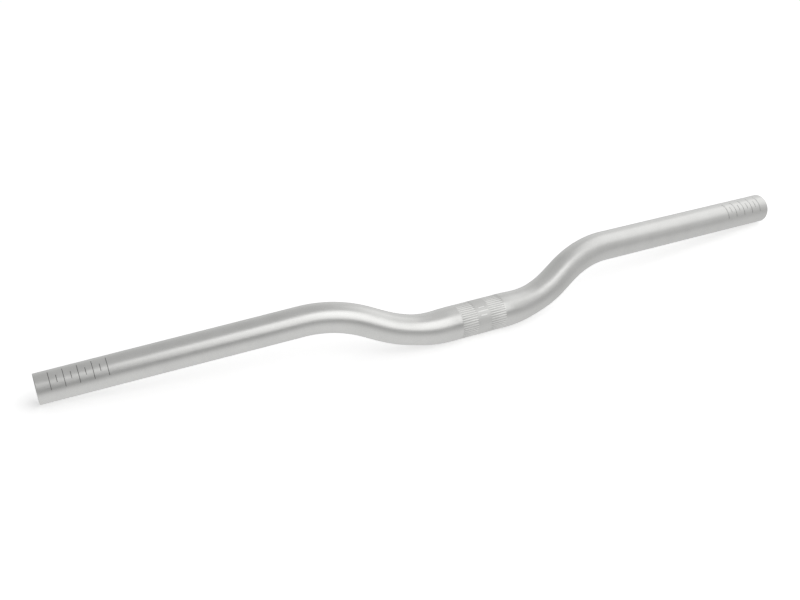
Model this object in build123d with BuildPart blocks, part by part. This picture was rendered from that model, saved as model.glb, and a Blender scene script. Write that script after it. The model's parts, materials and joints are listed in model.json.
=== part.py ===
"""Riser handlebar: one aluminium tube, swaged, butted and bent, lying as it comes to rest.

The origin is the middle of the clamp barrel, on the tube's axis. X runs along the barrel, Y points
to the side that the grips sweep to, and Z is up. The bar rests on the underside of the barrel and
on the lower edges of its two ends.
"""

import math
import os

from build123d import *

# Driving dimensions, in millimetres and degrees
overall_width = 630.0  # across the outermost points of the two ends
clamp_diameter = 25.4  # barrel that a stem closes on
grip_diameter = 22.2  # tube outside the tapers
clamp_wall = 2.6  # wall of the barrel
grip_wall = 2.2  # wall outside the tapers
clamp_length = 44.0  # straight barrel at full diameter
taper_length = 32.0  # along the centreline, on each side of the barrel
rise_start = 52.5  # from the middle to the corner where the tube turns up
rise = 28.5  # height of the outer corner above the barrel, on the bike
rise_angle = 28.5  # slope of the run between the two corners
backsweep = 12.5  # turn of the grips towards the rider
upsweep = 2.0  # climb of the grips
bend_radius = 95.0  # to the centreline, in all four bends
edge_break = 0.4  # chamfer on the edges of the cut ends
taper_stations = 9  # sections that shape each taper

clamp_radius = clamp_diameter / 2
grip_radius = grip_diameter / 2

# Corners of the right half's centreline as it sits on the bike, with the rise straight up
grip_direction = Vector(1, 0, 0).rotate(Axis.Y, -upsweep).rotate(Axis.Z, backsweep)
inner_corner = Vector(rise_start, 0, 0)
outer_corner = inner_corner + Vector(rise / math.tan(math.radians(rise_angle)), 0, rise)
end_face_reach = (grip_radius - edge_break) * math.sqrt(1 - grip_direction.X**2)
grip_run = (overall_width / 2 - end_face_reach - outer_corner.X) / grip_direction.X
end_centre = outer_corner + grip_direction * grip_run


def end_height(roll):
    """Lowest point of an end's outer edge once the bar has rolled back by this angle."""
    edge_centre = (end_centre - grip_direction * edge_break).rotate(Axis.X, -roll)
    climb = grip_direction.rotate(Axis.X, -roll).Z
    return edge_centre.Z - grip_radius * math.sqrt(1 - climb**2)


# The bar rolls back until its ends come down level with the underside of the barrel
upright, flat = 0.0, 90.0
while flat - upright > 1e-9:
    roll = (upright + flat) / 2
    if end_height(roll) > -clamp_radius:
        upright = roll
    else:
        flat = roll

corners = [corner.rotate(Axis.X, -roll) for corner in (inner_corner, outer_corner, end_centre)]
with BuildLine() as centreline:
    FilletPolyline((0, 0, 0), *corners, radius=bend_radius)
path = centreline.wire()
bend_axis = Vector(0, 1, 0).rotate(Axis.X, -roll)  # the bend beside the barrel turns about it


def section(distance):
    """Plane square to the centreline, at this distance along it from the middle."""
    along = distance / path.length
    return Plane(origin=path @ along, x_dir=bend_axis, z_dir=path % along)


def rod(middle_radius, end_radius):
    """Solid bar along the whole centreline, with a smooth taper on each side of its barrel."""
    taper_start = clamp_length / 2
    taper_end = taper_start + taper_length
    with BuildPart() as whole:
        with BuildSketch(section(0)):
            Circle(middle_radius)
        extrude(amount=taper_start)
        for station in range(taper_stations):
            share = station / (taper_stations - 1)
            eased = share**2 * (3 - 2 * share)
            with BuildSketch(section(taper_start + share * taper_length)):
                Circle(middle_radius + eased * (end_radius - middle_radius))
        loft()
        with BuildSketch(section(taper_end)):
            Circle(end_radius)
        sweep(path=path.trim(taper_end / path.length, 1))
        mirror(about=Plane.YZ)
    return whole.part


with BuildPart() as handlebar:
    add(rod(clamp_radius, grip_radius))
    add(rod(clamp_radius - clamp_wall, grip_radius - grip_wall), mode=Mode.SUBTRACT)
    cut_ends = handlebar.faces().filter_by(GeomType.PLANE)
    chamfer(cut_ends.edges(), length=edge_break)

handlebar.part.label = "handlebar"
os.makedirs("parts", exist_ok=True)
export_step(handlebar.part, "parts/handlebar.step")
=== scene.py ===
"""Riser handlebar: a swaged and bent aluminium tube, knurled at its clamp, with cut marks at its ends."""

import json
import math

import bmesh
import bpy
from mathutils import Matrix, Vector


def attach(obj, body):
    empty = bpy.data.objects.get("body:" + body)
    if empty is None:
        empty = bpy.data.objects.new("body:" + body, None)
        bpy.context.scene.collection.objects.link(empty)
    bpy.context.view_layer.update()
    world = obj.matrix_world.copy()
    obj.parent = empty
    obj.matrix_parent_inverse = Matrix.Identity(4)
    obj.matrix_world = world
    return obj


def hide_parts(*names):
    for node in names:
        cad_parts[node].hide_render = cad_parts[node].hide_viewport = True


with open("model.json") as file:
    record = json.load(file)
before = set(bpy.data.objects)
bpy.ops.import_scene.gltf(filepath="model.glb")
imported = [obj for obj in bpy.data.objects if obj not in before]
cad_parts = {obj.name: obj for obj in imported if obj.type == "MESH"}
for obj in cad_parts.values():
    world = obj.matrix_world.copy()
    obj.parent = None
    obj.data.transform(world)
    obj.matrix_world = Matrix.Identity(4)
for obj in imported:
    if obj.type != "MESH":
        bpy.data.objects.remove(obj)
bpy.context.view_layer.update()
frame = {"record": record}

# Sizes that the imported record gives
MILLIMETRE = 0.001
mounts = {mount["name"]: mount for mount in frame["record"]["mounts"]}
clamp_size = mounts["stem_clamp"]["dims"]
grip_size = mounts["right_grip"]["dims"]
clamp_radius = clamp_size["r_mm"] * MILLIMETRE
clamp_length = clamp_size["length_mm"] * MILLIMETRE
grip_radius = grip_size["r_mm"] * MILLIMETRE
grip_length = grip_size["length_mm"] * MILLIMETRE
grip_axis = Vector(mounts["right_grip"]["axis"]).normalized()
grip_start = Vector(mounts["right_grip"]["pos_m"]) - grip_axis * grip_length / 2

# Sizes of the tube that the record has no place for, in metres
bend_radius = 0.095  # to the centreline, in all four bends
rise_start = 0.0525  # from the middle to the corner where the tube turns up
taper_length = 0.032  # along the centreline, on each side of the barrel
clamp_wall = 0.0026
grip_wall = 0.0022
edge_break = 0.0004  # chamfer on the edges of the cut ends

# Straight knurl on the barrel: two bands of fine ridges, with a plain middle between them
knurl_shift = 0.002  # the rolled pattern sits a little to the right of the middle
band_start = 0.0055
band_end = 0.0182
knurl_run_out = 0.0004
knurl_ridges = 44
knurl_columns = 4  # of the mesh, from one groove to the next
knurl_valley = 0.00044
knurl_flank = 0.00020

# Cut marks at both ends, long and short by turns, turned from straight up towards the front
marks_facing = math.radians(40.5)
first_mark = 0.010  # from the end face
mark_step = 0.005
mark_count = 9
mark_width = 0.0004
mark_depth = 0.00012
long_mark_reach = math.radians(36)
short_mark_reach = math.radians(15)

# Ticks on the plain middle of the barrel, turned from straight up towards the front
ticks_facing = math.radians(45)
tick_gap = math.radians(14.3)
tick_width = math.radians(4)
ticks_each_side = 1  # of the middle one
tick_reach = 0.0026  # half of a tick's length
middle_tick_reach = 0.0044

# Rings and columns of the tube's mesh
columns = knurl_ridges * knurl_columns
bend_ring_gap = 0.0024
straight_ring_gap = 0.012
bore_ring_gap = 0.0048
weld_distance = 1e-6
place_digits = 7  # decimals of a metre that tell two rings apart
smooth_angle = math.radians(40)
corner_passes = 40  # for the outer corner of the centreline to settle

# Blasted skin: its grain and broad clouds, and how far they change its brightness and dullness
warmth = 0.98  # blue against red and green, in every finish
blast_spread = 0.08
grain_size = 0.0003
grain_detail = 2.0
grain_contrast = 3.0
grain_dullness = 0.10
grain_strength = 0.4
grain_depth = 0.00003
cloud_size = 0.014
cloud_detail = 4.0
cloud_dullness = 0.08

# Speckle on the floors of the marks, the turned ends and the drawn bore
speckle_detail = 3.0
speckle_dullness = 0.2

# Turned ends, with the circles that the tool leaves
turned_tone = 0.585
turned_spread = 0.077
turned_speckle = 0.0004
turned_dullness = 0.21
circle_pitch = 0.00014
circle_strength = 0.3
circle_depth = 0.00002

# Drawn bore, with streaks along it
drawn_tone = 0.53
drawn_spread = 0.132
drawn_dullness = 0.45
streak_size = 0.0007
streak_squeeze = 0.02  # along the bore, so that the streaks are long
streak_strength = 0.2
streak_depth = 0.00003

# Camera at the photograph's place
camera_place = Vector((-0.581027, -0.944953, 0.561889))
camera_azimuth = math.radians(28.789)
camera_drop = math.radians(26.284)
camera_roll = math.radians(-0.485)
camera_lens = 76.447
camera_sensor = 36.0

# Table
floor_half = 20.0  # in metres
floor_white = (0.80, 0.80, 0.80, 1.0)
floor_dullness = 0.6
floor_glow = 0.50

# Surroundings: brightness from straight down, at 0, to straight up, at 1, on a dark and a pale side
pale_azimuth = math.radians(117)  # from the front towards the right
paleness_stops = [(0.0, 0.0), (0.2, 0.29), (0.5, 0.29), (0.75, 0.65), (1.0, 1.0)]
dark_side_stops = [(0.0, 1.03), (0.25, 1.02), (0.42, 0.62), (0.54, 0.13), (0.75, 0.03), (1.0, 0.55)]
pale_side_stops = [(0.0, 0.77), (0.25, 0.67), (0.42, 0.61), (0.54, 1.0), (0.75, 1.03), (1.0, 0.75)]

# Colour sockets of a Mix node, whose names aren't unique
MIX_SHARE = 0
MIX_FIRST = 6
MIX_SECOND = 7
MIX_RESULT = 2


class Shade:
    """A socket of a finish. Operators on it add the Math nodes of the expression."""

    def __init__(self, finish, socket):
        self.finish = finish
        self.socket = socket

    def maths(self, operation, *values):
        return self.finish.node("ShaderNodeMath", {"operation": operation}, dict(enumerate(values)))

    def __add__(self, other):
        return self.maths("ADD", self, other)

    def __radd__(self, other):
        return self.maths("ADD", other, self)

    def __sub__(self, other):
        return self.maths("SUBTRACT", self, other)

    def __rsub__(self, other):
        return self.maths("SUBTRACT", other, self)

    def __mul__(self, other):
        return self.maths("MULTIPLY", self, other)

    def __rmul__(self, other):
        return self.maths("MULTIPLY", other, self)

    def __abs__(self):
        return self.maths("ABSOLUTE", self)


class Finish:
    """The nodes of a material or of the studio's surroundings."""

    def __init__(self, owner):
        owner.use_nodes = True
        self.tree = owner.node_tree
        self.tree.nodes.clear()

    def node(self, kind, settings=None, sockets=None, output=0):
        """Adds a node, with its settings first and then the values or links of its sockets."""
        node = self.tree.nodes.new(kind)
        for name, value in (settings or {}).items():
            if name == "stops":
                self.set_stops(node.color_ramp, value)
            else:
                setattr(node, name, value)
        for name, value in (sockets or {}).items():
            if isinstance(value, Shade):
                self.tree.links.new(value.socket, node.inputs[name])
            else:
                node.inputs[name].default_value = value
        return Shade(self, node.outputs[output]) if len(node.outputs) else node

    def set_stops(self, ramp, stops):
        while len(ramp.elements) < len(stops):
            ramp.elements.new(1.0)
        for element, (place, level) in zip(ramp.elements, stops):
            element.position = place
            element.color = (level, level, level, 1.0)

    def ramp(self, share, stops):
        """A grey that follows the stops."""
        return self.node("ShaderNodeValToRGB", {"stops": stops}, {"Fac": share})

    def mix(self, share, first, second):
        """A colour between two others."""
        sockets = {MIX_SHARE: share, MIX_FIRST: first, MIX_SECOND: second}
        return self.node("ShaderNodeMix", {"data_type": "RGBA"}, sockets, MIX_RESULT)

    def vectors(self, operation, *vectors, output=0):
        return self.node("ShaderNodeVectorMath", {"operation": operation}, dict(enumerate(vectors)), output)

    def noise(self, place, size, detail):
        """Noise with features of about this size."""
        return self.node("ShaderNodeTexNoise", None, {"Vector": place, "Scale": 1 / size, "Detail": detail})

    def bump(self, height, strength, depth):
        return self.node("ShaderNodeBump", None, {"Strength": strength, "Distance": depth, "Height": height})

    def surface(self, sockets):
        """Ends a material in a shader with these sockets."""
        shader = self.node("ShaderNodeBsdfPrincipled", None, sockets)
        self.node("ShaderNodeOutputMaterial", None, {"Surface": shader})


def new_finish(name):
    material = bpy.data.materials.new(name)
    return material, Finish(material)


def shades(tone, spread):
    """A darker and a paler grey on either side of a tone."""
    return [(level, level, level * warmth, 1.0) for level in (tone * (1 - spread), tone * (1 + spread))]


def blasted_aluminium(name, tone, dullness):
    """Clear-anodised aluminium under a fine, even blasting."""
    material, finish = new_finish(name)
    place = finish.node("ShaderNodeTexCoord", output="Object")
    grain = finish.noise(place, grain_size, grain_detail) - 0.5
    cloud = finish.noise(place, cloud_size, cloud_detail) - 0.5
    colour = finish.mix(0.5 + cloud + grain * grain_contrast, *shades(tone, blast_spread))
    roughness = dullness + cloud * cloud_dullness + grain * grain_dullness
    bump = finish.bump(grain, grain_strength, grain_depth)
    finish.surface({"Base Color": colour, "Metallic": 1.0, "Roughness": roughness, "Normal": bump})
    return material


def marked_aluminium(name, tone, spread, speckle_size, metallic, dullness):
    """Dull, speckled floor of a mark in the anodising."""
    material, finish = new_finish(name)
    place = finish.node("ShaderNodeTexCoord", output="Object")
    speckle = finish.noise(place, speckle_size, speckle_detail)
    colour = finish.mix(speckle, *shades(tone, spread))
    roughness = dullness + speckle * speckle_dullness
    finish.surface({"Base Color": colour, "Metallic": metallic, "Roughness": roughness})
    return material


def end_place(finish):
    """Places measured from the centre of the nearer end, with the left end folded onto the right."""
    place = finish.node("ShaderNodeTexCoord", output="Object")
    split = finish.node("ShaderNodeSeparateXYZ", None, {0: place})
    across, up = (Shade(finish, split.socket.node.outputs[name]) for name in ("Y", "Z"))
    folded_place = finish.node("ShaderNodeCombineXYZ", None, {"X": abs(split), "Y": across, "Z": up})
    return finish.vectors("SUBTRACT", folded_place, end_centre)


def turned_aluminium():
    """Faced tube end, with the fine circles that the tool leaves."""
    material, finish = new_finish("turned_aluminium")
    off_axis = finish.vectors("CROSS_PRODUCT", end_place(finish), grip_axis)
    reach = finish.vectors("LENGTH", off_axis, output="Value")
    circles = reach.maths("SINE", reach * (2 * math.pi / circle_pitch))
    speckle = finish.noise(off_axis, turned_speckle, speckle_detail)
    colour = finish.mix(speckle, *shades(turned_tone, turned_spread))
    roughness = turned_dullness + speckle * speckle_dullness
    bump = finish.bump(circles, circle_strength, circle_depth)
    finish.surface({"Base Color": colour, "Metallic": 1.0, "Roughness": roughness, "Normal": bump})
    return material


def drawn_aluminium():
    """Bore as the tube was drawn, with faint lines along it."""
    material, finish = new_finish("drawn_aluminium")
    place = end_place(finish)
    along = finish.vectors("DOT_PRODUCT", place, grip_axis, output="Value")
    off_axis = finish.vectors("CROSS_PRODUCT", place, grip_axis)
    lengthwise = finish.node("ShaderNodeCombineXYZ", None, {"X": along * streak_squeeze})
    streaks = finish.noise(finish.vectors("ADD", off_axis, lengthwise), streak_size, speckle_detail)
    colour = finish.mix(streaks, *shades(drawn_tone, drawn_spread))
    roughness = drawn_dullness + streaks * speckle_dullness
    bump = finish.bump(streaks, streak_strength, streak_depth)
    finish.surface({"Base Color": colour, "Metallic": 1.0, "Roughness": roughness, "Normal": bump})
    return material


class Straight:
    """A straight run of the tube's centreline."""

    def __init__(self, start, direction, length):
        self.start = start
        self.direction = direction
        self.length = length

    def place(self, along):
        return self.start + self.direction * along

    def carry(self, step):
        """Extrudes the selected ring along the run."""
        bpy.ops.mesh.extrude_region_move(TRANSFORM_OT_translate={"value": self.direction * step})


class Bend:
    """A bend of the tube's centreline, from one direction to another."""

    def __init__(self, start, entering, leaving):
        self.start = start
        self.axis = entering.cross(leaving).normalized()
        self.centre = start + self.axis.cross(entering) * bend_radius
        self.length = bend_radius * entering.angle(leaving)

    def place(self, along):
        turn = Matrix.Rotation(along / bend_radius, 3, self.axis)
        return self.centre + turn @ (self.start - self.centre)

    def carry(self, step):
        """Spins the selected ring round the bend."""
        bpy.ops.mesh.spin(steps=1, angle=-step / bend_radius, center=self.centre, axis=self.axis)


def half_route():
    """Straight runs and bends of the right half's centreline, from the middle to the end face."""
    barrel_axis = Vector((1, 0, 0))
    inner_corner = barrel_axis * rise_start
    outer_corner = grip_start.copy()
    for _ in range(corner_passes):
        rise_axis = (outer_corner - inner_corner).normalized()
        outer_cut = bend_radius * math.tan(rise_axis.angle(grip_axis) / 2)
        outer_corner = grip_start - grip_axis * outer_cut
    inner_cut = bend_radius * math.tan(barrel_axis.angle(rise_axis) / 2)
    first_bend = barrel_axis * (rise_start - inner_cut)
    rise_foot = inner_corner + rise_axis * inner_cut
    rise_top = outer_corner - rise_axis * outer_cut
    return [
        Straight(Vector((0, 0, 0)), barrel_axis, first_bend.length),
        Bend(first_bend, barrel_axis, rise_axis),
        Straight(rise_foot, rise_axis, (rise_top - rise_foot).length),
        Bend(rise_top, rise_axis, grip_axis),
        Straight(grip_start, grip_axis, grip_length + edge_break),
    ]


route = half_route()
half_length = sum(stretch.length for stretch in route)
end_centre = grip_start + grip_axis * (grip_length + edge_break)
taper_start = clamp_length / 2
taper_end = taper_start + taper_length
mark_places = [first_mark + mark_step * number for number in range(mark_count)]
grip_up = (Vector((0, 0, 1)) - grip_axis * grip_axis.z).normalized()
grip_front = grip_axis.cross(grip_up)


def stretch_at(distance):
    """The stretch of the route at this distance from the middle, and where that stretch begins."""
    begin = 0.0
    for stretch in route:
        if distance < begin + stretch.length:
            break
        begin += stretch.length
    else:
        begin -= stretch.length
    return stretch, begin


def centre_at(distance):
    stretch, begin = stretch_at(distance)
    return stretch.place(distance - begin)


def tapered(distance, middle, end):
    """A radius that eases from the barrel's to the grip's along the taper."""
    share = min(max((distance - taper_start) / taper_length, 0.0), 1.0)
    return middle + (end - middle) * share**2 * (3 - 2 * share)


def outer_radius(distance):
    skin = tapered(distance, clamp_radius, grip_radius)
    return skin - max(0.0, distance - (half_length - edge_break))


def bore_radius(distance):
    skin = tapered(distance, clamp_radius - clamp_wall, grip_radius - grip_wall)
    return skin + max(0.0, distance - (half_length - edge_break))


def ring_places(landmarks, curved_gap):
    """Distances of the tube's rings: every landmark, and enough between them for bends and tapers."""
    ends = [0.0]
    for stretch in route:
        ends.append(ends[-1] + stretch.length)
    stops = sorted({round(stop, place_digits) for stop in [*ends, taper_start, taper_end, *landmarks]})
    places = [stops[0]]
    for here, there in zip(stops, stops[1:]):
        middle = (here + there) / 2
        curved = isinstance(stretch_at(middle)[0], Bend) or taper_start < middle < taper_end
        count = math.ceil((there - here) / (curved_gap if curved else straight_ring_gap))
        places += [here + (there - here) * step / count for step in range(1, count + 1)]
    return places


def grow(places, radius_at):
    """Carries the selected ring from place to place along the route, at the radius each has."""
    for here, there in zip(places, places[1:]):
        stretch_at((here + there) / 2)[0].carry(there - here)
        share = radius_at(there) / radius_at(here)
        bpy.ops.transform.resize(value=(share, share, share), center_override=centre_at(there))


def select(kind, chosen):
    """Selects the vertices or faces of the edited mesh that a test chooses."""
    bpy.ops.mesh.select_mode(type=kind)
    bpy.ops.mesh.select_all(action="DESELECT")
    edited = bmesh.from_edit_mesh(bpy.context.object.data)
    for element in edited.verts if kind == "VERT" else edited.faces:
        if chosen(element):
            element.select_set(True)
    edited.select_flush_mode()
    bmesh.update_edit_mesh(bpy.context.object.data)


def give(material):
    """Puts a finish on the selected faces."""
    edited = bpy.context.object
    edited.active_material_index = edited.data.materials.find(material.name)
    bpy.ops.object.material_slot_assign()


def make_tube(finishes):
    """The whole tube: outer wall out to one end, rim, bore back to the middle, then its mirror half."""
    mark_edges = [half_length - place + side * mark_width / 2 for place in mark_places for side in (-1, 1)]
    band_edges = [edge + side * knurl_run_out for edge in (band_start, band_end) for side in (-1, 0, 1)]
    pattern_edges = [tick_reach, middle_tick_reach, *band_edges]
    barrel_edges = [abs(edge + shift) for edge in pattern_edges for shift in (-knurl_shift, knurl_shift)]
    chamfer_edge = half_length - edge_break
    outside = ring_places([*barrel_edges, *mark_edges, chamfer_edge], bend_ring_gap)
    inside = ring_places([chamfer_edge], bore_ring_gap)

    bpy.ops.object.select_all(action="DESELECT")
    bpy.ops.mesh.primitive_circle_add(vertices=columns, radius=clamp_radius, rotation=(0, math.pi / 2, 0))
    tube = bpy.context.object
    tube.name = "handlebar_tube"
    tube.data.name = "handlebar_tube"
    for material in finishes:
        tube.data.materials.append(material)
    bpy.ops.object.transform_apply(location=True, rotation=True, scale=True)

    bpy.ops.object.mode_set(mode="EDIT")
    bpy.ops.mesh.select_all(action="SELECT")
    grow(outside, outer_radius)
    bpy.ops.mesh.hide(unselected=True)
    rim_share = bore_radius(half_length) / outer_radius(half_length)
    bpy.ops.mesh.extrude_region_move()
    bpy.ops.transform.resize(value=(rim_share, rim_share, rim_share), center_override=end_centre)
    grow(inside[::-1], bore_radius)
    bpy.ops.mesh.select_all(action="SELECT")
    give(drawn)
    bpy.ops.mesh.reveal()
    bpy.ops.object.mode_set(mode="OBJECT")

    mirror = tube.modifiers.new("other half", "MIRROR")
    mirror.merge_threshold = weld_distance
    bpy.ops.object.modifier_apply(modifier=mirror.name)
    bpy.ops.object.mode_set(mode="EDIT")
    bpy.ops.mesh.select_all(action="SELECT")
    bpy.ops.mesh.remove_doubles(threshold=weld_distance)
    bpy.ops.mesh.normals_make_consistent(inside=False)
    bpy.ops.object.mode_set(mode="OBJECT")
    return tube


def folded(point):
    """The same place on the right half."""
    return Vector((abs(point.x), point.y, point.z))


def from_end(point):
    """Distance along the grip from the end face."""
    return (end_centre - folded(point)).dot(grip_axis)


def barrel_turn(point):
    """Angle round the barrel, from straight up towards the front."""
    return math.atan2(-point.y, point.z)


def barrel_column(point):
    """The same angle, in columns of the mesh."""
    return barrel_turn(point) / (2 * math.pi / columns)


def on_skin(point):
    """Whether a point of the barrel or a grip is on the outside of the tube."""
    if abs(point.x) < taper_start:
        return math.hypot(point.y, point.z) > clamp_radius - clamp_wall / 2
    return (folded(point) - end_centre).cross(grip_axis).length > grip_radius - grip_wall / 2


def roll_knurl():
    """Presses the grooves of the knurl into the barrel's two bands."""

    def in_band(columns_off):
        first, last = band_start + knurl_run_out / 2, band_end - knurl_run_out / 2

        def chosen(vertex):
            column = round(barrel_column(vertex.co)) % knurl_columns
            off = abs(vertex.co.x - knurl_shift)
            return first < off < last and column in columns_off and on_skin(vertex.co)

        return chosen

    select("VERT", in_band((1, knurl_columns - 1)))
    bpy.ops.transform.shrink_fatten(value=-knurl_flank)
    select("VERT", in_band((0,)))
    bpy.ops.transform.shrink_fatten(value=-knurl_valley)


def finish_clamp():
    """Gives the knurl's ridges a paler tone as painted light and its grooves a darker tone as painted shade,
    and the plain middle between its bands its own finish.
    """

    def within(reach, columns_off):
        def chosen(face):
            middle = face.calc_center_median()
            column = math.floor(barrel_column(middle)) % knurl_columns
            return abs(middle.x - knurl_shift) < reach and column in columns_off and on_skin(middle)

        return chosen

    # All of the knurl takes the paler ridge tone, painted light; then its grooves take the darker tone,
    # painted shade.
    select("FACE", within(band_end, range(knurl_columns)))
    give(painted_light_ridges)
    select("FACE", within(band_end, (0, knurl_columns - 1)))
    give(painted_shade_grooves)
    select("FACE", within(band_start, range(knurl_columns)))
    give(coarse)


def is_cut_mark(face):
    """Whether a face lies in one of the cut marks."""
    middle = face.calc_center_median()
    for number, place in enumerate(mark_places):
        if abs(from_end(middle) - place) < mark_width / 2 and on_skin(middle):
            off = folded(middle) - end_centre
            turned_off = math.atan2(off.dot(grip_front), off.dot(grip_up)) - marks_facing
            return abs(turned_off) < (short_mark_reach if number % 2 else long_mark_reach)
    return False


def is_tick(face):
    """Whether a face lies in one of the ticks on the plain middle of the barrel."""
    middle = face.calc_center_median()
    turned_off = barrel_turn(middle) - ticks_facing
    number = round(turned_off / tick_gap)
    if abs(number) > ticks_each_side or abs(turned_off - number * tick_gap) > tick_width / 2:
        return False
    return abs(middle.x - knurl_shift) < (tick_reach if number else middle_tick_reach) and on_skin(middle)


def sink_marks(chosen, finish):
    """Sinks marks into the skin and gives their floors a finish."""
    select("FACE", chosen)
    bpy.ops.mesh.extrude_region_shrink_fatten(TRANSFORM_OT_shrink_fatten={"value": -mark_depth})
    give(finish)


def finish_ends():
    """Gives the rims and their chamfers the finish of a turned end."""
    select("FACE", lambda face: from_end(face.calc_center_median()) < edge_break)
    give(turned)


def make_floor():
    """White table that glows a little, so that it stays pale all over."""
    bpy.ops.object.select_all(action="DESELECT")
    bpy.ops.mesh.primitive_plane_add(size=2 * floor_half, location=(0, 0, -clamp_radius))
    floor = bpy.context.object
    floor.name = "floor"
    bpy.ops.object.transform_apply(location=True, rotation=True, scale=True)
    material, finish = new_finish("white_table")
    finish.surface(
        {
            "Base Color": floor_white,
            "Roughness": floor_dullness,
            "Emission Color": (1.0, 1.0, 1.0, 1.0),
            "Emission Strength": floor_glow,
        }
    )
    floor.data.materials.append(material)
    floor.visible_glossy = False


def make_surroundings():
    """Studio round the table: bright below, and above it dark on the near left and pale on the far right."""
    world = bpy.data.worlds.new("studio")
    bpy.context.scene.world = world
    finish = Finish(world)
    direction = finish.node("ShaderNodeTexCoord", output="Generated")
    pale_way = Vector((math.sin(pale_azimuth), -math.cos(pale_azimuth), 0))
    across = finish.vectors("DOT_PRODUCT", direction, pale_way, output="Value") * 0.5 + 0.5
    height = finish.vectors("DOT_PRODUCT", direction, Vector((0, 0, 1)), output="Value") * 0.5 + 0.5
    paleness = finish.ramp(across, paleness_stops)
    light = finish.mix(paleness, finish.ramp(height, dark_side_stops), finish.ramp(height, pale_side_stops))
    background = finish.node("ShaderNodeBackground", None, {"Color": light, "Strength": 1.0})
    finish.node("ShaderNodeOutputWorld", None, {"Surface": background})


def make_softbox(name, azimuth, elevation, distance, width, height, power):
    """Soft light that faces the middle of the bar. Azimuth turns from the front towards the right."""
    turn, lift = math.radians(azimuth), math.radians(elevation)
    direction = Vector((math.sin(turn) * math.cos(lift), -math.cos(turn) * math.cos(lift), math.sin(lift)))
    light = bpy.data.lights.new(name, "AREA")
    light.shape = "RECTANGLE"
    light.size = width
    light.size_y = height
    light.energy = power
    softbox = bpy.data.objects.new(name, light)
    softbox.location = direction * distance
    softbox.rotation_euler = direction.to_track_quat("Z", "Y").to_euler()
    bpy.context.scene.collection.objects.link(softbox)


def make_camera():
    data = bpy.data.cameras.new("camera")
    data.lens = camera_lens
    data.sensor_width = camera_sensor
    camera = bpy.data.objects.new("camera", data)
    bpy.context.scene.collection.objects.link(camera)
    camera.matrix_world = (
        Matrix.Translation(camera_place)
        @ Matrix.Rotation(-camera_azimuth, 4, "Z")
        @ Matrix.Rotation(math.pi / 2 - camera_drop, 4, "X")
        @ Matrix.Rotation(camera_roll, 4, "Z")
    )
    bpy.context.scene.camera = camera


blasted = blasted_aluminium("blasted_aluminium", tone=0.631, dullness=0.345)
# Ridges and grooves of the knurl: one blasted finish in two tones, paler on the ridges as painted light and
# darker in the grooves as painted shade.
painted_light_ridges = blasted_aluminium("ridges_painted_light", tone=0.79, dullness=0.5)
painted_shade_grooves = blasted_aluminium("grooves_painted_shade", tone=0.61, dullness=0.5)
coarse = blasted_aluminium("coarse_aluminium", tone=0.658, dullness=0.55)
etched = marked_aluminium(
    "etched_aluminium", tone=0.115, spread=0.39, speckle_size=0.00033, metallic=0.4, dullness=0.55
)
frosted = marked_aluminium(
    "frosted_aluminium", tone=0.92, spread=0.043, speckle_size=0.00025, metallic=0.1, dullness=0.5
)
turned = turned_aluminium()
drawn = drawn_aluminium()

tube = make_tube([blasted, painted_light_ridges, painted_shade_grooves, coarse, etched, frosted, turned, drawn])
bpy.ops.object.mode_set(mode="EDIT")
finish_clamp()
sink_marks(is_cut_mark, etched)
sink_marks(is_tick, frosted)
finish_ends()
bpy.ops.object.mode_set(mode="OBJECT")
bpy.ops.object.shade_smooth_by_angle(angle=smooth_angle)
bpy.ops.object.mode_set(mode="EDIT")
roll_knurl()
bpy.ops.object.mode_set(mode="OBJECT")
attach(tube, "root")
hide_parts("handlebar")

make_floor()
make_surroundings()
make_softbox("front_softbox", azimuth=10, elevation=42, distance=1.7, width=1.45, height=1.7, power=9.8)
make_softbox("side_softbox", azimuth=91, elevation=40, distance=1.33, width=1.25, height=1.05, power=1.85)
make_camera()
bpy.context.scene.view_settings.view_transform = "Standard"
